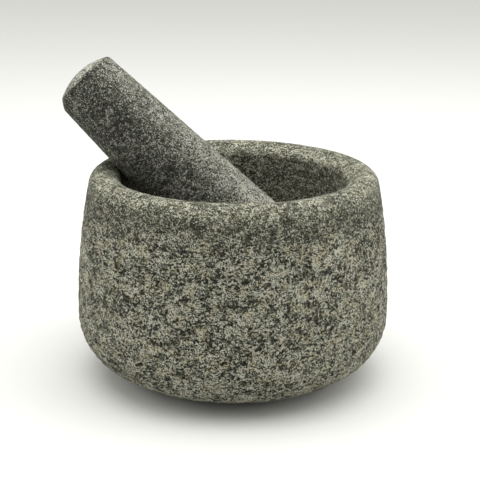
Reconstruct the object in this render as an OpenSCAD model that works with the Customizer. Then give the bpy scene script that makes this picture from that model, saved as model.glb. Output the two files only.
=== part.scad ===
// Stone mortar and pestle: a round bowl turned from one stone, and a club-shaped pestle
// that leans on its rim. Millimetres, +Z up along the bowl's axis. The origin is the
// centre of the foot, on the surface that the mortar stands on.

/* [Mortar outside] */
// Width across the belly, the widest part
belly_d = 130; // [105:1:170]
// Height from the foot to the top of the rim
mortar_h = 87; // [72:1:110]
// Height of the belly above the foot
belly_h = 27; // [24.5:0.5:34]
// Radius of the turn from the belly to the underside
belly_round = 23.5; // [15:0.5:24]
// Width of the flat foot
foot_d = 56; // [40:1:68]
// How far the wall leans in between the belly and the shoulder
wall_lean = 4.8; // [2:0.1:8]

/* [Rim and bowl] */
// Drop from the top of the rim to the shoulder, where the rim's rounding begins
shoulder_drop = 8; // [7:0.5:12]
// Wall thickness at the shoulder
wall_t = 13.8; // [12:0.1:17]
// Radius across the top of the rim
rim_crown = 9; // [8:0.5:11]
// Distance from the bowl's wall out to the highest point of the rim
crown_in = 8; // [6:0.1:8.5]
// Radius of the rim's outer edge
rim_outer_round = 5.4; // [4:0.1:6]
// Radius of the rim's inner edge
rim_inner_round = 3.5; // [2.6:0.1:4]
// Thickness of the stone under the bottom of the bowl
floor_t = 20; // [15:1:26]

/* [Pestle] */
// Length from end to end
pestle_l = 133; // [110:1:160]
// Width at the grinding end, measured where the straight sides would meet its face
grind_d = 42.6; // [35:0.2:51.2]
// Width at the upper end, measured in the same way
top_d = 28; // [23:0.2:34]
// Radius of the domed grinding face
grind_dome = 30; // [25:1:36]
// Radius of the grinding end's edge
grind_edge = 9; // [6:0.5:11]
// Radius of the domed upper face
top_dome = 26; // [20:1:60]
// Radius of the upper end's edge
top_edge = 2.4; // [1:0.1:4]

/* [Pestle at rest] */
// Angle of the pestle above level as it leans on the rim
lean = 42.7; // [38:0.1:50]
// Direction that the upper end leans to, turned from -X towards +Y
lean_turn = 10.3; // [-180:0.1:180]
// Gap left under the pestle at the rim, and at the bottom of the bowl
rest_gap = 0.3; // [0.1:0.05:0.5]

/* [Hidden] */
$fn = 180;
arc_step = 4; // most degrees between two points of an arc

// Plane geometry. Points are [distance from the axis, height].
function heading(a, b) = atan2(b[1] - a[1], b[0] - a[0]);
function arc(c, r, from, to) =
    let (n = max(2, ceil(abs(to - from) / arc_step)))
    [for (i = [0:n]) let (a = from + (to - from) * i / n) c + r * [cos(a), sin(a)]];
// Where two circles cross, on the left of the way from the first centre to the second
function crossing(c1, r1, c2, r2) =
    let (d = norm(c2 - c1), e = (c2 - c1) / d, along = (r1 * r1 - r2 * r2 + d * d) / (2 * d))
    c1 + along * e + sqrt(r1 * r1 - along * along) * [-e[1], e[0]];

// Mortar outside: the underside's arc touches the foot's plane and the belly's turn, and
// the wall's arc starts upright at the belly
belly_r = belly_d / 2;
foot_r = foot_d / 2;
belly_c = [belly_r - belly_round, belly_h];
under_round = (pow(belly_c[0] - foot_r, 2) + pow(belly_h, 2) - pow(belly_round, 2))
    / (2 * (belly_h - belly_round));
under_c = [foot_r, under_round];
under_end = heading(under_c, belly_c);
shoulder_rise = mortar_h - shoulder_drop - belly_h;
wall_round = (pow(shoulder_rise, 2) + pow(wall_lean, 2)) / (2 * wall_lean);
wall_c = [belly_r - wall_round, belly_h];

// Bowl: an upright wall over a half ball
bowl_r = belly_r - wall_lean - wall_t;
bowl_c = [0, floor_t + bowl_r];

// Rim: a crown between two smaller edge arcs, each touching its neighbours
crown_c = [bowl_r + crown_in, mortar_h - rim_crown];
outer_c = crossing(wall_c, wall_round - rim_outer_round, crown_c, rim_crown - rim_outer_round);
inner_c = [bowl_r + rim_inner_round,
           crown_c[1] + sqrt(pow(rim_crown - rim_inner_round, 2) - pow(crown_in - rim_inner_round, 2))];
wall_end = heading(wall_c, outer_c);
outer_end = heading(crown_c, outer_c);
crown_end = heading(crown_c, inner_c);

mortar_outline = concat(
    [[0, 0]],
    arc(under_c, under_round, -90, under_end),
    arc(belly_c, belly_round, under_end, 0),
    arc(wall_c, wall_round, 0, wall_end),
    arc(outer_c, rim_outer_round, wall_end, outer_end),
    arc(crown_c, rim_crown, outer_end, crown_end),
    arc(inner_c, rim_inner_round, crown_end, 180),
    arc(bowl_c, bowl_r, 0, -90));

// Pestle, as [distance from its axis, distance from its grinding end]
taper = (grind_d - top_d) / 2 / pestle_l;
taper_angle = atan(taper);
// Centre of an end's edge arc, which touches the straight side and the domed face from
// inside. The side starts end_r from the axis and widens by slope away from the end.
function edge_centre(end_r, slope, dome, edge) =
    let (m = end_r - edge / cos(taper_angle), a = 1 + slope * slope, b = dome - m * slope,
         z = (b - sqrt(b * b - a * (m * m + dome * dome - pow(dome - edge, 2)))) / a)
    [m + slope * z, z];
grind_dome_c = [0, grind_dome];
grind_edge_c = edge_centre(grind_d / 2, -taper, grind_dome, grind_edge);
grind_dome_end = heading(grind_dome_c, grind_edge_c);
top_dome_c = [0, pestle_l - top_dome];
top_edge_in = edge_centre(top_d / 2, taper, top_dome, top_edge);
top_edge_c = [top_edge_in[0], pestle_l - top_edge_in[1]];
top_dome_end = heading(top_dome_c, top_edge_c);

pestle_outline = concat(
    arc(grind_dome_c, grind_dome, -90, grind_dome_end),
    arc(grind_edge_c, grind_edge, grind_dome_end, taper_angle),
    arc(top_edge_c, top_edge, taper_angle, top_dome_end),
    arc(top_dome_c, top_dome, top_dome_end, 90));

// Pestle at rest, in the upright plane through both axes. Points are [x, z] there, with
// the upper end on the -x side. up_axis points to the upper end, above off its upper side.
up_axis = [-cos(lean), sin(lean)];
above = [sin(lean), cos(lean)];
// The underside bears on the rim arc whose tangent has the underside's slope
on_inner_edge = 90 + lean + taper_angle > crown_end;
rim_touch_c = on_inner_edge ? [-inner_c[0], inner_c[1]] : [-crown_c[0], crown_c[1]];
rim_touch_r = on_inner_edge ? rim_inner_round : rim_crown;
underside_out = sin(taper_angle) * up_axis - cos(taper_angle) * above;
underside_reach = rim_touch_c * underside_out - grind_d / 2 * cos(taper_angle) - rim_touch_r - rest_gap;
// With the grinding end at end_along on up_axis and the underside at the rim, how far a
// spot on the pestle is above the bowl's centre, across the pestle's axis
function across(spot, end_along) =
    taper * end_along - underside_reach / cos(taper_angle) - spot[0] - bowl_c * above;
// end_along at which an arc of the end, centred on a spot, reaches the bottom of the bowl
function seat(spot, round) =
    let (p = spot[1] - bowl_c * up_axis, q = across(spot, 0), room = bowl_r - round - rest_gap,
         a = 1 + taper * taper, b = p + taper * q)
    (-b - sqrt(b * b - a * (p * p + q * q - room * room))) / a;
dome_seat = seat(grind_dome_c, grind_dome);
dome_tilt = atan2(across(grind_dome_c, dome_seat), bowl_c * up_axis - dome_seat - grind_dome);
dome_bears = abs(dome_tilt) < 90 + grind_dome_end;
edge_seats = [for (side = [-1, 1]) seat([side * grind_edge_c[0], grind_edge_c[1]], grind_edge)];
end_along = max(concat(edge_seats, dome_bears ? [dome_seat] : []));
end_across = taper * end_along - underside_reach / cos(taper_angle);
rest_at = end_along * up_axis + end_across * above;

module mortar() {
    color([0.60, 0.60, 0.55])
        rotate_extrude() polygon(mortar_outline);
}

module pestle() {
    color([0.46, 0.47, 0.43])
        rotate([0, 0, -lean_turn])
            translate([rest_at[0], 0, rest_at[1]])
                rotate([0, lean - 90, 0])
                    rotate_extrude() polygon(pestle_outline);
}

mortar();
pestle();
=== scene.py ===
"""A molcajete of grey granite: a turned mortar with a club-shaped pestle leaning on its rim."""

import math

import bpy
import numpy as np
from bpy.props import FloatProperty, FloatVectorProperty, IntProperty, PointerProperty
from mathutils import Matrix, Vector, noise


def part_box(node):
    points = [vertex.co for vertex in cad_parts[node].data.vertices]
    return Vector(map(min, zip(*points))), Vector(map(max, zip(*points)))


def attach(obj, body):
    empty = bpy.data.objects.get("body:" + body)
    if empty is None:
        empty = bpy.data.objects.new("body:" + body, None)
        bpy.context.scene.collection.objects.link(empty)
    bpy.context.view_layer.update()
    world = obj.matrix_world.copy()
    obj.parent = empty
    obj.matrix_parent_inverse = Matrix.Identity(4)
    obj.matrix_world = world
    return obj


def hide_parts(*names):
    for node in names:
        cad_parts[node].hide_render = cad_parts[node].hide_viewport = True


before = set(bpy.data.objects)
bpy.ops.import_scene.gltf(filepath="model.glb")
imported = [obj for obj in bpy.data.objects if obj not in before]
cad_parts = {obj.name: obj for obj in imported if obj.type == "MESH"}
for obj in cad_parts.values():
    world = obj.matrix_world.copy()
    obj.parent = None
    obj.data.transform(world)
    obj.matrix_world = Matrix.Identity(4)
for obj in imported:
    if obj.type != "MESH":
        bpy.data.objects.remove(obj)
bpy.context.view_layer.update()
mortar_low, mortar_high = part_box("mortar")

bl_info = {
    "name": "Stone mortar and pestle",
    "version": (1, 0, 0),
    "blender": (4, 5, 0),
    "location": "View3D > Sidebar > Stone",
    "description": "Builds a turned granite mortar, its pestle and a plain studio round them",
    "category": "Add Mesh",
}

MM = 0.001


# Sizes and colours

def linear(colour):
    """A linear RGBA colour from its sRGB hex form."""
    shares = [int(colour[i:i + 2], 16) / 255 for i in (1, 3, 5)]
    return [c / 12.92 if c <= 0.04045 else ((c + 0.055) / 1.055) ** 2.4 for c in shares] + [1.0]


def length(name, description, millimetres):
    """A length that the user can change, with its default in millimetres."""
    return FloatProperty(name=name, description=description, default=millimetres * MM,
                         unit="LENGTH", subtype="DISTANCE", precision=5)


def angle(name, description, degrees):
    """An angle that the user can change, with its default in degrees."""
    return FloatProperty(name=name, description=description, default=math.radians(degrees),
                         unit="ROTATION", subtype="ANGLE")


def colour(name, description, hex_form):
    """A colour that the user can change, with its default in sRGB hex form."""
    return FloatVectorProperty(name=name, description=description, default=linear(hex_form),
                               subtype="COLOR", size=4, min=0.0, max=1.0)


def number(name, description, default):
    """A plain number that the user can change."""
    return FloatProperty(name=name, description=description, default=default)


class MortarSizes(bpy.types.PropertyGroup):
    belly_width: length("Belly width", "Width at the widest part",
                        (mortar_high.x - mortar_low.x) / MM)
    height: length("Height", "From the foot to the top of the rim",
                   (mortar_high.z - mortar_low.z) / MM)
    belly_height: length("Belly height", "Height of the widest part above the foot", 27)
    belly_round: length("Belly round", "Radius of the turn from belly to underside", 23.5)
    foot_width: length("Foot width", "Width of the flat foot", 56)
    wall_lean: length("Wall lean", "How far the wall leans in below the shoulder", 4.8)
    shoulder_drop: length("Shoulder drop", "From the top of the rim to the shoulder", 8)
    wall_thickness: length("Wall thickness", "Thickness of the stone at the shoulder", 13.8)
    rim_crown: length("Rim crown", "Radius across the top of the rim", 9)
    crown_in: length("Crown offset", "From the bowl's wall out to the top of the rim", 8)
    rim_outer_round: length("Outer rim edge", "Radius of the rim's outer edge", 5.4)
    rim_inner_round: length("Inner rim edge", "Radius of the rim's inner edge", 3.5)
    floor_thickness: length("Floor thickness", "Stone under the bottom of the bowl", 20)
    pit_depth: length("Pit depth", "Depth of the pits that the pick left outside", 0.50)
    groove_depth: length("Groove depth", "Depth of the lines left by turning", 0.22)
    columns: IntProperty(name="Columns", description="Faces round the mortar", default=400)


class PestleSizes(bpy.types.PropertyGroup):
    grind_width: length("Grinding width", "Width at the grinding end", 42.6)
    top_width: length("Upper width", "Width at the upper end", 28)
    grind_dome: length("Grinding dome", "Radius of the domed grinding face", 30)
    grind_edge: length("Grinding edge", "Radius of the grinding end's edge", 9)
    top_dome: length("Upper dome", "Radius of the domed upper face", 26)
    top_edge: length("Upper edge", "Radius of the upper end's edge", 1.3)
    lean: angle("Lean", "Angle of the pestle above level", 42.7)
    lean_turn: angle("Lean direction", "Turned from -X towards +Y", 10.3)
    pit_depth: length("Pit depth", "Depth of the pits between the crystals", 0.16)
    chip_depth: length("Chip depth", "Depth of the flake gone from the upper edge", 1.1)
    columns: IntProperty(name="Columns", description="Faces round the pestle", default=330)


class GraniteLook(bpy.types.PropertyGroup):
    mica: colour("Dark mica", "Near-black mica and hornblende", "#141611")
    shade: colour("Dark grain", "Grains with mica below their surface", "#383A30")
    quartz: colour("Grey quartz", "Clear quartz, which looks dark grey", "#585949")
    body: colour("Grey grain", "The stone's body of feldspar", "#80816C")
    pale: colour("Pale grain", "Bruised feldspar, whitened by the tool", "#A5A693")
    chalk: colour("Chalky grain", "The whitest grains", "#CBCAB9")
    brown: colour("Brown grain", "Mica under stained feldspar", "#464436")
    cream: colour("Cream grain", "Feldspar stained by iron", "#958E70")
    ivory: colour("Ivory grain", "The palest stained feldspar", "#C5BFA6")
    rust: colour("Rust fleck", "Weathered iron ore", "#82675A")
    grain: length("Grain size", "Width of a single crystal", 0.58)
    grit: length("Grit size", "Width of the crumbs on a broken surface", 0.42)
    curl: length("Curl size", "Width of a curled broken edge", 0.8)
    mica_grain: length("Mica grain size", "Width of a dark grain", 1.0)
    patch: length("Patch size", "Width of a patch of one mineral", 2.8)
    clump: length("Clump size", "Width of a clump of dark grains", 4.6)
    cloud: length("Cloud size", "Width of the darker and lighter clouds", 9)


class StageLook(bpy.types.PropertyGroup):
    paper: colour("Paper", "The pale floor", "#E6E6E3")
    ceiling: colour("Ceiling", "Light from straight above the object", "#FFFFFC")
    horizon: colour("Horizon", "Light from the room at the height of the object", "#474949")
    backdrop: colour("Backdrop", "What the camera sees beyond the floor", "#DDDEDA")
    ceiling_light: number("Ceiling strength", "Strength of the ceiling's light", 1.38)
    overhead_watts: number("Overhead light", "Power of the overhead softbox in watts", 4.8)
    side_watts: number("Side lights", "Power of each side light in watts", 11.0)
    focal_length: number("Focal length", "Focal length on a 36 mm sensor, in mm", 90.0)
    camera_distance: length("Camera distance", "From the camera to its target", 506.8)
    camera_height: angle("Camera elevation", "Angle of the camera above level", 18.8)
    target_height: length("Target height", "Height of the camera's target", 42.25)
    camera_turn: angle("Camera turn", "Turn of the camera to the right of its target", 0.31)
    camera_raise: angle("Camera raise", "How far the camera points above its target", 1.52)
    camera_roll: angle("Camera roll", "Tilt of the camera, its right side up", 0.58)


# Outlines. Points are [distance from the axis, height].

def arc(centre, radius, start, end, spacing):
    """Points along an arc from one angle to another, in degrees."""
    sweep = math.radians(abs(end - start))
    steps = max(2, math.ceil(sweep * radius / spacing))
    turn = np.radians(np.linspace(start, end, steps + 1))
    return np.add(centre, radius * np.column_stack([np.cos(turn), np.sin(turn)]))


def straight(start, end, spacing):
    """Points along a straight line."""
    steps = max(1, math.ceil(math.dist(start, end) / spacing))
    return np.linspace(start, end, steps + 1)


def heading(start, end):
    """The direction from one point to another, in degrees."""
    return math.degrees(math.atan2(end[1] - start[1], end[0] - start[0]))


def crossing(first, first_radius, second, second_radius):
    """Where two circles cross, on the left of the way from the first centre to the second."""
    apart = math.dist(first, second)
    way = np.subtract(second, first) / apart
    along = (first_radius ** 2 - second_radius ** 2 + apart ** 2) / (2 * apart)
    across = math.sqrt(first_radius ** 2 - along ** 2)
    return first + along * way + across * np.array([-way[1], way[0]])


def joined(stretches):
    """One outline from stretches that each start where the last one ended."""
    return np.vstack([stretches[0]] + [stretch[1:] for stretch in stretches[1:]])


def mortar_outline(s):
    """The mortar's outline from the middle of its foot to the bottom of the bowl, and the
    run along it where the rim starts and ends."""
    fine, coarse, coarsest = 0.7 * MM, 1.6 * MM, 3 * MM
    belly = s.belly_width / 2
    foot = s.foot_width / 2
    bowl = belly - s.wall_lean - s.wall_thickness
    belly_at = (belly - s.belly_round, s.belly_height)
    under = ((belly_at[0] - foot) ** 2 + s.belly_height ** 2 - s.belly_round ** 2) / (
        2 * (s.belly_height - s.belly_round))
    under_at = (foot, under)
    under_end = heading(under_at, belly_at)
    rise = s.height - s.shoulder_drop - s.belly_height
    wall = (rise ** 2 + s.wall_lean ** 2) / (2 * s.wall_lean)
    wall_at = (belly - wall, s.belly_height)
    crown_at = (bowl + s.crown_in, s.height - s.rim_crown)
    outer_at = crossing(wall_at, wall - s.rim_outer_round, crown_at, s.rim_crown - s.rim_outer_round)
    inner_drop = math.sqrt((s.rim_crown - s.rim_inner_round) ** 2
                           - (s.crown_in - s.rim_inner_round) ** 2)
    inner_at = (bowl + s.rim_inner_round, crown_at[1] + inner_drop)
    wall_end = heading(wall_at, outer_at)
    outer_end = heading(crown_at, outer_at)
    crown_end = heading(crown_at, inner_at)
    bowl_at = (0, s.floor_thickness + bowl)
    outside = [
        straight((0, 0), (foot, 0), coarsest),
        arc(under_at, under, -90, under_end, fine),
        arc(belly_at, s.belly_round, under_end, 0, fine),
        arc(wall_at, wall, 0, wall_end, fine),
    ]
    rim = [
        arc(outer_at, s.rim_outer_round, wall_end, outer_end, fine),
        arc(crown_at, s.rim_crown, outer_end, crown_end, fine),
        arc(inner_at, s.rim_inner_round, crown_end, 180, fine),
    ]
    inside = [
        straight((bowl, inner_at[1]), (bowl, bowl_at[1]), coarse),
        arc(bowl_at, bowl, 0, -90, coarse),
    ]
    points = joined(outside + rim + inside)
    run = run_along(points)
    rim_start = run[len(joined(outside)) - 1]
    rim_end = run[len(joined(outside + rim)) - 1]
    return points, rim_start, rim_end


def pestle_outline(s, full_length):
    """The pestle's outline from the middle of its grinding face to the middle of its top."""
    fine, coarse = 0.75 * MM, 0.9 * MM
    taper = (s.grind_width - s.top_width) / 2 / full_length
    side = math.degrees(math.atan(taper))
    grind_at = (0, s.grind_dome)
    grind_edge_at = edge_centre(s.grind_width / 2, -taper, s.grind_dome, s.grind_edge)
    grind_end = heading(grind_at, grind_edge_at)
    top_at = (0, full_length - s.top_dome)
    top_in = edge_centre(s.top_width / 2, taper, s.top_dome, s.top_edge)
    top_edge_at = (top_in[0], full_length - top_in[1])
    top_end = heading(top_at, top_edge_at)
    face = arc(grind_at, s.grind_dome, -90, grind_end, coarse)
    face_edge = arc(grind_edge_at, s.grind_edge, grind_end, side, coarse)
    top_edge = arc(top_edge_at, s.top_edge, side, top_end, fine / 2)
    top = arc(top_at, s.top_dome, top_end, 90, fine)
    shaft = straight(face_edge[-1], top_edge[0], coarse)
    return joined([face, face_edge, shaft, top_edge, top])


def edge_centre(end_radius, slope, dome, edge):
    """Centre of an end's edge arc, which touches the straight side and the domed face from
    inside. The side starts end_radius from the axis and widens by slope along the axis."""
    start = end_radius - edge * math.hypot(1, slope)
    a = 1 + slope ** 2
    b = dome - start * slope
    up = (b - math.sqrt(b ** 2 - a * (start ** 2 + dome ** 2 - (dome - edge) ** 2))) / a
    return (start + slope * up, up)


# Meshes

def run_along(outline):
    """The distance along an outline at each of its points."""
    steps = np.hypot(*np.diff(outline, axis=0).T)
    return np.concatenate([[0], np.cumsum(steps)])


class Turning:
    """A solid turned round the Z axis, as points, outward normals, and where each point lies
    on the lathe: its direction from the axis, its run along the outline."""

    def __init__(self, outline, columns):
        run = run_along(outline)
        self.columns = columns
        self.rows = len(outline) - 2
        self.total = run[-1]
        way = np.gradient(outline, run, axis=0)
        way[0], way[-1] = (1, 0), (-1, 0)
        way /= np.hypot(*way.T)[:, None]
        turn = np.arange(columns) * 2 * math.pi / columns
        row = np.concatenate([[0], np.repeat(np.arange(1, self.rows + 1), columns), [-1]])
        around = np.concatenate([[0], np.tile(turn, self.rows), [0]])
        self.cos, self.sin = np.cos(around), np.sin(around)
        self.run = run[row]
        self.points = self.placed(outline[row, 0], outline[row, 1])
        self.normals = self.placed(way[row, 1], -way[row, 0])

    def placed(self, outwards, upwards):
        """Each point or direction, from how far it goes outwards and upwards."""
        return np.column_stack([self.cos * outwards, self.sin * outwards, upwards])

    def lathe(self):
        """Direction from the axis and run, which patterns left by turning follow."""
        return np.column_stack([self.cos, self.sin, self.run])

    def faces(self):
        """Triangles round the two ends, and four-sided faces between them."""
        last = self.rows * self.columns + 1
        column = np.arange(self.columns)
        after = (column + 1) % self.columns
        foot = [(0, 1 + b, 1 + a) for a, b in zip(column, after)]
        top = 1 + (self.rows - 1) * self.columns
        head = [(top + a, top + b, last) for a, b in zip(column, after)]
        sides = []
        for row in range(self.rows - 1):
            low = 1 + row * self.columns
            high = low + self.columns
            sides += [(low + a, low + b, high + b, high + a) for a, b in zip(column, after)]
        return foot + sides + head

    def mesh(self, name):
        """A closed mesh of the solid, smoothly shaded, with its map."""
        made = bpy.data.meshes.new(name)
        made.from_pydata(self.points.tolist(), [], [list(map(int, f)) for f in self.faces()])
        for polygon in made.polygons:
            polygon.use_smooth = True
        self.add_map(made)
        return made

    def add_map(self, mesh):
        """A map with the way round as its width and the run along the outline as its height."""
        vertex = np.empty(len(mesh.loops), int)
        mesh.loops.foreach_get("vertex_index", vertex)
        column = (vertex - 1) % self.columns
        place = np.column_stack([column / self.columns, self.run[vertex] / self.total])
        start = 0
        for polygon in mesh.polygons:
            end = start + polygon.loop_total
            corners = vertex[start:end]
            inner = (corners > 0) & (corners <= self.rows * self.columns)
            across = column[start:end][inner]
            if across.max() - across.min() > 1:
                place[start:end][inner & (column[start:end] == 0), 0] = 1.0
            place[start:end][~inner, 0] = place[start:end][inner, 0].mean()
            start = end
        layer = mesh.uv_layers.new(name="OFBake")
        layer.data.foreach_set("uv", place.ravel())


def bumps(points, size, seed):
    """Smooth noise from -1 to 1 at each point, with bumps about as wide as size."""
    shift = Vector((seed * 3.17, seed * 7.31, seed * 5.53))
    return np.array([noise.noise(Vector(p) + shift) for p in points / size])


def ease(values, start, end):
    """0 up to start, 1 from end on, and a smooth step between them."""
    share = np.clip((values - start) / (end - start), 0, 1)
    return share * share * (3 - 2 * share)


def turned_lines(turning, pitch, around, seed):
    """Broken lines left by turning, from -1 to 1: pitch apart, and around long."""
    reach = np.abs(turning.points[:, :2]).max()
    scale = np.array([reach / around, reach / around, 1 / pitch])
    return bumps(turning.lathe() * scale, 1, seed)


def write_attribute(mesh, name, values):
    """Stores a number or a vector for each point of a mesh, which its material reads."""
    vectors = values.ndim == 2
    made = mesh.attributes.new(name, "FLOAT_VECTOR" if vectors else "FLOAT", "POINT")
    made.data.foreach_set("vector" if vectors else "value", values.ravel())


def add_piece(name, mesh, material, node):
    """Adds a piece that stands for a CAD node, and rides on the body of the same name."""
    mesh.materials.append(material)
    piece = bpy.data.objects.new(name, mesh)
    bpy.context.scene.collection.objects.link(piece)
    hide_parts(node)
    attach(piece, node)
    return piece


# Granite

def add(tree, kind, sockets, stops=(), **settings):
    """Adds a node to a tree. Each socket, by name or number, gets a value, a socket to link
    from, or a node whose first output it links from. A colour ramp gets its stops."""
    made = tree.nodes.new("ShaderNode" + kind)
    for name, value in settings.items():
        setattr(made, name, value)
    for name, value in sockets.items():
        if isinstance(value, bpy.types.Node):
            value = value.outputs[0]
        if isinstance(value, bpy.types.NodeSocket):
            tree.links.new(value, made.inputs[name])
        else:
            made.inputs[name].default_value = value
    if stops:
        elements = made.color_ramp.elements
        elements.remove(elements[1])
        elements[0].position, elements[0].color = stops[0]
        for position, shade in stops[1:]:
            elements.new(position).color = shade
    return made


def granite(name, look, seed, dark_share, cream_share, contrast, blotches, warmth,
            line_pitch, line_share, roughness):
    """Grey granite of mica, quartz and feldspar crystals, dressed by a tool and not polished.

    To the eye, it is a matte stone: a curly olive-grey body with pale bruised threads, crisp
    near-black mica in clumps, soft cream patches, a few rust flecks, and lines from turning.
    Its curls, crumbs and turned lines are drawn as coarse as they need to be to show.

    The mesh says how honed the stone is, from 0 for pecked to 1 for ground; how strongly
    turning has marked it; where it lies on the lathe; and its shift, which makes it paler
    above 0 and darker below, and holds painted shade and painted light as well as tone.
    """
    raggedness = 1.6 * look.grain
    bed_thinness = 1.35
    line_breaks = 7.0
    material = bpy.data.materials.new(name)
    material.use_nodes = True
    tree = material.node_tree
    shader = tree.nodes["Principled BSDF"]
    place = add(tree, "TexCoord", {}).outputs["Object"]
    # Turned off the stone's axes, so that rows of cells don't run straight up its wall
    askew = {"Center": (seed, seed / 3, seed / 7), "Axis": (0.3, 0.4, 1.0),
             "Angle": math.radians(24)}
    moved = add(tree, "VectorRotate", {"Vector": place, **askew})
    lathe = add(tree, "Attribute", {}, attribute_name="lathe").outputs["Vector"]
    honed = add(tree, "Attribute", {}, attribute_name="honed").outputs["Fac"]
    marked = add(tree, "Attribute", {}, attribute_name="marked").outputs["Fac"]
    shift = add(tree, "Attribute", {}, attribute_name="shift").outputs["Fac"]

    # Crystals have ragged edges, because the place is shaken before cells are drawn. Dark
    # grains, clumps, patches and clouds are wider than they are high.
    jitter = add(tree, "TexNoise", {"Vector": moved, "Scale": 1 / look.grain, "Detail": 1.0})
    shake = add(tree, "VectorMath", {0: jitter.outputs["Color"], 1: (0.5,) * 3},
                operation="SUBTRACT")
    shaken = add(tree, "VectorMath", {0: shake, 1: (raggedness,) * 3, 2: moved},
                 operation="MULTIPLY_ADD")
    thinned = add(tree, "VectorMath", {0: place, 1: (1.0, 1.0, bed_thinness)},
                  operation="MULTIPLY")
    bed = add(tree, "VectorRotate", {"Vector": thinned, **askew})
    bedded = add(tree, "VectorMath", {0: shake, 1: (raggedness,) * 3, 2: bed},
                 operation="MULTIPLY_ADD")
    grains = add(tree, "TexVoronoi", {"Vector": shaken, "Scale": 1 / look.grain})
    grain = add(tree, "SeparateColor", {0: grains.outputs["Color"]})
    micas = add(tree, "TexVoronoi", {"Vector": bedded, "Scale": 1 / look.mica_grain})
    mica = add(tree, "SeparateColor", {0: micas.outputs["Color"]})
    patches = add(tree, "TexVoronoi", {"Vector": bedded, "Scale": 1 / look.patch})
    patch = add(tree, "SeparateColor", {0: patches.outputs["Color"]})
    clumps = add(tree, "TexNoise", {"Vector": bedded, "Scale": 1 / look.clump, "Detail": 1.0})
    clouds = add(tree, "TexNoise", {"Vector": bedded, "Scale": 1 / look.cloud, "Detail": 1.0})

    # Curls are the broken edges of crystals, and a thread is the bright line where the curls'
    # noise passes one value
    curls = add(tree, "TexNoise", {"Vector": moved, "Scale": 1 / look.curl, "Detail": 1.0,
                                   "Distortion": 1.6})
    thread_value, thread_reach = 0.56, 0.07
    past_thread = add(tree, "Math", {0: curls, 1: thread_value}, operation="SUBTRACT")
    from_thread = add(tree, "Math", {0: past_thread}, operation="ABSOLUTE")
    thread = add(tree, "MapRange", {0: from_thread, 1: 0.0, 2: thread_reach, 3: 1.0, 4: 0.0},
                 interpolation_type="SMOOTHSTEP")

    # Turning leaves broken lines, each about as long as a seventh of its distance from the axis
    line_place = add(tree, "VectorMath", {0: lathe, 1: (line_breaks, line_breaks, 1 / line_pitch)},
                     operation="MULTIPLY")
    lines = add(tree, "TexNoise", {"Vector": line_place, "Scale": 1.0, "Detail": 1.0})
    line_off = add(tree, "Math", {0: lines, 1: 0.5}, operation="SUBTRACT")
    line_tone = add(tree, "Math", {0: line_off, 1: marked}, operation="MULTIPLY")

    # Quartz patches are calmer than feldspar, and so is ground stone
    quartz = add(tree, "MapRange", {0: patch.outputs[2], 1: 0.62, 2: 0.70, 3: 1.0, 4: 0.45},
                 interpolation_type="SMOOTHSTEP")
    calm = add(tree, "MapRange", {0: honed, 1: 0.0, 2: 1.0, 3: contrast, 4: contrast * 0.62})
    liveliness = add(tree, "Math", {0: quartz, 1: calm}, operation="MULTIPLY")

    # How light the body is: its curls, threads, grains and crumbs, then its patches and clouds
    grit = add(tree, "TexNoise", {"Vector": moved, "Scale": 1 / look.grit, "Detail": 0.0})
    fine_parts = ((curls, 1.75), (thread, 0.45), (grain.outputs[0], 0.9), (grit, 2.9))
    fine = -0.50 * sum(share for part, share in fine_parts)
    for part, share in fine_parts:
        fine = add(tree, "Math", {0: part, 1: share, 2: fine}, operation="MULTIPLY_ADD")
    wide_parts = ((patch.outputs[0], 0.40), (clouds, 0.8))
    wide = -0.50 * sum(share for part, share in wide_parts)
    for part, share in wide_parts:
        wide = add(tree, "Math", {0: part, 1: share, 2: wide}, operation="MULTIPLY_ADD")
    blotch = add(tree, "MapRange", {0: honed, 1: 0.0, 2: 1.0, 3: blotches, 4: blotches * 0.6})
    plain_tone = 0.71
    tone = add(tree, "Math", {0: fine, 1: liveliness, 2: plain_tone}, operation="MULTIPLY_ADD")
    for part, share in ((wide, blotch), (shift, 0.90), (line_tone, line_share)):
        tone = add(tree, "Math", {0: part, 1: share, 2: tone}, operation="MULTIPLY_ADD")
    body = add(tree, "ValToRGB", {0: tone}, stops=(
        (0.10, look.shade), (0.34, look.quartz), (0.50, look.body), (0.68, look.pale),
        (0.95, look.chalk)))

    # Feldspar is cream where iron has stained it
    stain = add(tree, "TexNoise", {"Vector": bedded, "Scale": 0.55 / look.patch, "Detail": 1.0})
    cream_top = add(tree, "MapRange", {0: honed, 1: 0.0, 2: 1.0, 3: cream_share,
                                       4: cream_share * 0.35})
    stained = add(tree, "MapRange", {0: stain, 1: 0.49, 2: 0.60, 3: 0.0, 4: cream_top},
                  interpolation_type="SMOOTHSTEP")
    cream = add(tree, "ValToRGB", {0: tone}, stops=(
        (0.10, look.brown), (0.45, look.cream), (0.80, look.ivory)))
    creamed = add(tree, "Mix", {0: stained, 6: body, 7: cream}, data_type="RGBA").outputs[2]
    rusty = add(tree, "MapRange", {0: mica.outputs[2], 1: 0.985, 2: 0.990, 3: 0.0, 4: 0.4})
    rusted = add(tree, "Mix", {0: rusty, 6: creamed, 7: look.rust}, data_type="RGBA").outputs[2]
    bright = add(tree, "MapRange", {0: grain.outputs[1], 1: 0.95, 2: 0.96, 3: 0.0, 4: 0.7})
    flecked = add(tree, "Mix", {0: bright, 6: rusted, 7: look.chalk}, data_type="RGBA").outputs[2]

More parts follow.
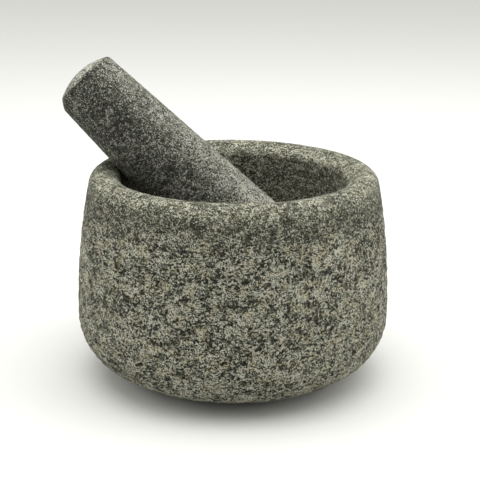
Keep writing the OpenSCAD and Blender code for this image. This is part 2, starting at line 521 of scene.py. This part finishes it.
    # A mica grain is likelier inside a clump. Nearly half of them show only in part, and so do
    # all of them where the stone is honed.
    chance = add(tree, "MapRange", {0: clumps, 1: 0.43, 2: 0.60, 3: dark_share * 0.4,
                                    4: dark_share * 2.5})
    over = add(tree, "Math", {0: chance, 1: mica.outputs[0]}, operation="SUBTRACT")
    crisp = add(tree, "MapRange", {0: mica.outputs[1], 1: 0.40, 2: 0.50, 3: 0.60, 4: 0.96})
    shown = add(tree, "MapRange", {0: honed, 1: 0.0, 2: 1.0, 3: crisp, 4: 0.60})
    dark = add(tree, "MapRange", {0: over, 1: -0.01, 2: 0.02, 3: 0.0, 4: shown})
    dark_tone = add(tree, "Math", {0: grain.outputs[2], 1: curls}, operation="MULTIPLY")
    dark_mix = add(tree, "MapRange", {0: dark_tone, 1: 0.10, 2: 0.45, 3: 0.0, 4: 1.0})
    dark_stone = add(tree, "Mix", {0: dark_mix, 6: look.mica, 7: look.shade}, data_type="RGBA")
    final = add(tree, "Mix", {0: dark, 6: flecked, 7: dark_stone.outputs[2]}, data_type="RGBA")

    # The shift makes all the minerals paler or darker alike. It carries painted shade and painted
    # light as well as the stone's own tone.
    paling = add(tree, "Math", {0: shift, 1: 0.8, 2: 1.0}, operation="MULTIPLY_ADD")
    toned = add(tree, "HueSaturation", {"Color": final.outputs[2], "Saturation": warmth})
    shifted = add(tree, "VectorMath", {0: toned, "Scale": paling}, operation="SCALE")
    tree.links.new(shifted.outputs[0], shader.inputs["Base Color"])

    # Mica glints a little; bruised feldspar is chalky
    gloss = add(tree, "MapRange", {0: dark, 1: 0.0, 2: 1.0, 3: roughness, 4: roughness - 0.25})
    tree.links.new(gloss.outputs[0], shader.inputs["Roughness"])
    height = add(tree, "Math", {0: lines, 1: 0.5, 2: curls}, operation="MULTIPLY_ADD")
    height = add(tree, "Math", {0: grain.outputs[0], 1: 0.35, 2: height},
                 operation="MULTIPLY_ADD")
    height = add(tree, "Math", {0: dark, 1: -0.25, 2: height}, operation="MULTIPLY_ADD")
    strength = add(tree, "MapRange", {0: honed, 1: 0.0, 2: 1.0, 3: 1.0, 4: 0.45})
    bump = add(tree, "Bump", {"Height": height, "Strength": strength, "Distance": 1.0 * MM})
    tree.links.new(bump.outputs[0], shader.inputs["Normal"])
    shader.inputs["IOR"].default_value = 1.5
    shader.inputs["Specular IOR Level"].default_value = 0.12
    return material


# Operators

class BuildMortar(bpy.types.Operator):
    """Turn the mortar from one stone, with a pecked outside, a smooth rim and a ground bowl"""

    bl_idname = "stone.build_mortar"
    bl_label = "Mortar"

    def execute(self, context):
        s = context.scene.mortar_sizes
        outline, rim_start, rim_end = mortar_outline(s)
        turning = Turning(outline, s.columns)
        honed = ease(turning.run, rim_start - 14 * MM, rim_start - 2 * MM)
        foot = turning.run < s.foot_width / 2 - 1 * MM
        groove_pitch, groove_length = 1.3 * MM, 26 * MM
        rough = np.where(foot, 0, 1 - 0.8 * honed)
        lines = turned_lines(turning, groove_pitch, groove_length, 1)
        near_rim = ease(turning.run, rim_start - 16 * MM, rim_start - 5 * MM)
        near_foot = 1 - ease(turning.run, s.foot_width / 2 + 16 * MM, s.foot_width / 2 + 32 * MM)
        marked = 0.6 + 0.4 * near_foot
        swell = bumps(turning.points, 22 * MM, 2)
        lumps = bumps(turning.points, 2.6 * MM, 3)
        pecks = ease(bumps(turning.points, 2.0 * MM, 4), 0.18, 0.55)
        swell_height, lump_height = 0.10 * MM, 0.42 * MM
        relief = (swell_height * swell * (1 - 0.5 * honed) + lump_height * lumps * rough
                  - s.pit_depth * pecks * rough
                  + s.groove_depth * np.minimum(lines, 0.15) * marked * np.where(foot, 0, 1))
        relief = np.where(foot, 0, relief)
        turning.points = turning.points + relief[:, None] * turning.normals
        turning.points[:, 2] = np.maximum(turning.points[:, 2], 0)
        mesh = turning.mesh("mortar_stone")
        write_attribute(mesh, "honed", honed)
        write_attribute(mesh, "marked", marked)
        # Painted shade: the inside of the bowl, from the rim's inner edge down, is darker
        painted_shade_in_bowl = ease(turning.run, rim_end - 6 * MM, rim_end)
        # Painted light: the bottom of the bowl is paler
        painted_light_on_bowl_floor = ease(turning.run, turning.total - 40 * MM, turning.total - 5 * MM)
        # Painted highlight: a pale ring along the rounding of the rim's inner edge
        painted_highlight_on_inner_edge = ease(turning.run, rim_end - 7 * MM, rim_end - 4 * MM) * (
            1 - ease(turning.run, rim_end - 4 * MM, rim_end - 1 * MM))
        # Painted shade: a darker band on the outside wall just under the rim
        painted_shade_under_rim = near_rim * (1 - ease(turning.run, rim_start - 4 * MM, rim_start + 2 * MM))
        shift = (-0.15 * honed - 0.25 * painted_shade_under_rim - 0.11 * painted_shade_in_bowl + 0.16 * painted_light_on_bowl_floor
                 + 0.10 * painted_highlight_on_inner_edge)
        write_attribute(mesh, "shift", shift)
        write_attribute(mesh, "lathe", turning.lathe())
        look = context.scene.granite_look
        material = granite("granite_turned_and_pecked", look, seed=1.0, dark_share=0.25,
                           cream_share=0.75, contrast=1.75, blotches=1.0, warmth=1.0,
                           line_pitch=0.9 * MM, line_share=1.3, roughness=0.88)
        add_piece("mortar_stone", mesh, material, "mortar")
        return {"FINISHED"}


class BuildPestle(bpy.types.Operator):
    """Shape the pestle from the same stone, ground smooth, with a chipped upper edge"""

    bl_idname = "stone.build_pestle"
    bl_label = "Pestle"

    def execute(self, context):
        s = context.scene.pestle_sizes
        across = Vector((-math.cos(s.lean_turn), math.sin(s.lean_turn), 0))
        up = (across * math.cos(s.lean) + Vector((0, 0, math.sin(s.lean)))).normalized()
        side = up.cross(Vector((0, 0, 1))).normalized()
        over = side.cross(up)
        axes = np.array([side, over, up])
        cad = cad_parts["pestle"].data
        spots = np.array([v.co for v in cad.vertices]) @ axes.T
        low, high = spots.min(0), spots.max(0)
        start = np.array([(low[0] + high[0]) / 2, (low[1] + high[1]) / 2, low[2]]) @ axes
        outline = pestle_outline(s, high[2] - low[2])
        turning = Turning(outline, s.columns)
        swell = bumps(turning.points, 18 * MM, 11)
        lumps = bumps(turning.points, 2.8 * MM, 12)
        pecks = ease(bumps(turning.points, 1.7 * MM, 13), 0.15, 0.55)
        swell_height, lump_height = 0.08 * MM, 0.06 * MM
        relief = swell_height * swell + lump_height * lumps - s.pit_depth * pecks
        turning.points = turning.points + relief[:, None] * turning.normals
        turning.points = turning.points @ axes + start
        chipped_side = Vector((-0.96, -0.20, -0.18)).normalized()
        self.chip(turning, chipped_side, s.chip_depth)
        mesh = turning.mesh("pestle_stone")
        honed, marked = 0.4, 0.3
        write_attribute(mesh, "honed", np.full(len(turning.run), honed))
        write_attribute(mesh, "marked", np.full(len(turning.run), marked))
        # Darker towards the upper end
        toward_upper_end = ease(turning.run, 0.25 * turning.total, 0.75 * turning.total)
        top = turning.total - turning.run
        ragged = s.top_width / 2 + 1.2 * MM * bumps(turning.points, 3 * MM, 15)
        face = 1 - ease(top, ragged - 1 * MM, ragged)
        edge = (1 - face) * (1 - ease(top, ragged + 1 * MM, ragged + 3.5 * MM))
        # Painted light: the faces that turn upwards are paler, where the overhead light falls on
        # them
        painted_top_light = ease((turning.normals @ axes)[:, 2], 0.30, 0.90)
        shift = -0.31 - 0.12 * toward_upper_end + 0.24 * face - 0.08 * edge + 0.32 * painted_top_light
        write_attribute(mesh, "shift", shift)
        write_attribute(mesh, "lathe", turning.lathe())
        look = context.scene.granite_look
        material = granite("granite_ground", look, seed=4.0, dark_share=0.10,
                           cream_share=0.3, contrast=0.90, blotches=0.45, warmth=0.70,
                           line_pitch=0.8 * MM, line_share=0.2, roughness=0.84)
        add_piece("pestle_stone", mesh, material, "pestle")
        return {"FINISHED"}

    def chip(self, turning, side, depth):
        """Strikes a flake off the end's edge on one side, and leaves a rough flat."""
        reach = turning.points @ np.array(side)
        rough = 0.12 * MM * bumps(turning.points, 1.6 * MM, 14)
        past = np.maximum(reach - reach.max() + depth + rough, 0)
        turning.points = turning.points - past[:, None] * np.array(side)


class BuildStage(bpy.types.Operator):
    """Set the object on a pale floor under soft light, and place the camera"""

    bl_idname = "stone.build_stage"
    bl_label = "Stage"

    def execute(self, context):
        s = context.scene.stage_look
        self.add_floor(context, s)
        over_width, side_width = 1.0, 1.3
        over_place = Vector((0.05, 0.03, 0.66))
        self.add_light(context, "overhead", s.overhead_watts, over_width, over_place)
        for name, side in (("left", -1), ("right", 1)):
            place = Vector((side * 1.60, -0.14, 0.68))
            self.add_light(context, name, s.side_watts, side_width, place)
        world = bpy.data.worlds.new("surround")
        world.use_nodes = True
        tree = world.node_tree
        way = add(tree, "TexCoord", {}).outputs["Generated"]
        height = add(tree, "SeparateXYZ", {0: way}).outputs["Z"]
        share = add(tree, "Math", {0: height, 1: 2.0}, operation="POWER", use_clamp=True)
        room = add(tree, "Mix", {0: share, 6: s.horizon, 7: s.ceiling},
                   data_type="RGBA").outputs[2]
        lit = add(tree, "VectorMath", {0: room, 1: (s.ceiling_light,) * 3}, operation="MULTIPLY")
        seen = add(tree, "LightPath", {}).outputs["Is Camera Ray"]
        shown = add(tree, "Mix", {0: seen, 6: lit, 7: s.backdrop}, data_type="RGBA")
        tree.links.new(shown.outputs[2], tree.nodes["Background"].inputs["Color"])
        context.scene.world = world
        context.scene.view_settings.view_transform = "Standard"
        self.add_camera(context, s)
        return {"FINISHED"}

    def add_floor(self, context, s):
        """A wide floor of matte paper."""
        half = 4.0
        mesh = bpy.data.meshes.new("floor")
        corners = [(-half, -half, 0), (half, -half, 0), (half, half, 0), (-half, half, 0)]
        mesh.from_pydata(corners, [], [(0, 1, 2, 3)])
        material = bpy.data.materials.new("matte_paper")
        material.use_nodes = True
        shader = material.node_tree.nodes["Principled BSDF"]
        shader.inputs["Base Color"].default_value = s.paper
        shader.inputs["Roughness"].default_value = 0.95
        shader.inputs["Specular IOR Level"].default_value = 0.1
        mesh.materials.append(material)
        floor = bpy.data.objects.new("floor", mesh)
        context.scene.collection.objects.link(floor)

    def add_light(self, context, name, watts, width, place):
        """A square softbox that faces a point on the mortar's axis, near half its height."""
        faced = Vector((0, 0, 0.04))
        data = bpy.data.lights.new(name, "AREA")
        data.shape = "SQUARE"
        data.size = width
        data.energy = watts
        light = bpy.data.objects.new(name, data)
        light.location = place
        light.rotation_euler = (faced - place).to_track_quat("-Z", "Y").to_euler()
        context.scene.collection.objects.link(light)

    def add_camera(self, context, s):
        """A camera aimed at a point on the mortar's axis, then turned, tilted up and rolled."""
        ahead = Vector((0, math.cos(s.camera_height), -math.sin(s.camera_height)))
        right = Vector((1, 0, 0))
        place = Vector((0, 0, s.target_height)) - ahead * s.camera_distance
        up = right.cross(ahead)
        view = Matrix((right, up, -ahead)).transposed()
        view = view @ Matrix.Rotation(-s.camera_turn, 3, "Y")
        view = view @ Matrix.Rotation(s.camera_raise, 3, "X")
        view = view @ Matrix.Rotation(s.camera_roll, 3, "Z")
        data = bpy.data.cameras.new("camera")
        data.lens = s.focal_length
        data.sensor_width = 36.0
        camera = bpy.data.objects.new("camera", data)
        camera.matrix_world = Matrix.Translation(place) @ view.to_4x4()
        context.scene.collection.objects.link(camera)
        context.scene.camera = camera


class StonePanel(bpy.types.Panel):
    """The sizes, the colours and the steps that build the object"""

    bl_idname = "VIEW3D_PT_stone_mortar"
    bl_label = "Mortar and pestle"
    bl_space_type = "VIEW_3D"
    bl_region_type = "UI"
    bl_category = "Stone"

    def draw(self, context):
        for operator in OPERATORS:
            self.layout.operator(operator.bl_idname)
        for name, group in GROUPS.items():
            box = self.layout.box()
            for setting in group.__annotations__:
                box.prop(getattr(context.scene, name), setting)


GROUPS = {
    "mortar_sizes": MortarSizes,
    "pestle_sizes": PestleSizes,
    "granite_look": GraniteLook,
    "stage_look": StageLook,
}
OPERATORS = [BuildMortar, BuildPestle, BuildStage]


def register():
    for made in (*GROUPS.values(), *OPERATORS, StonePanel):
        bpy.utils.register_class(made)
    for name, group in GROUPS.items():
        setattr(bpy.types.Scene, name, PointerProperty(type=group))


def unregister():
    for name in GROUPS:
        delattr(bpy.types.Scene, name)
    for made in (StonePanel, *reversed(OPERATORS), *reversed(GROUPS.values())):
        bpy.utils.unregister_class(made)


def main():
    register()
    bpy.ops.stone.build_mortar()
    bpy.ops.stone.build_pestle()
    bpy.ops.stone.build_stage()


if __name__ == "__main__":
    main()
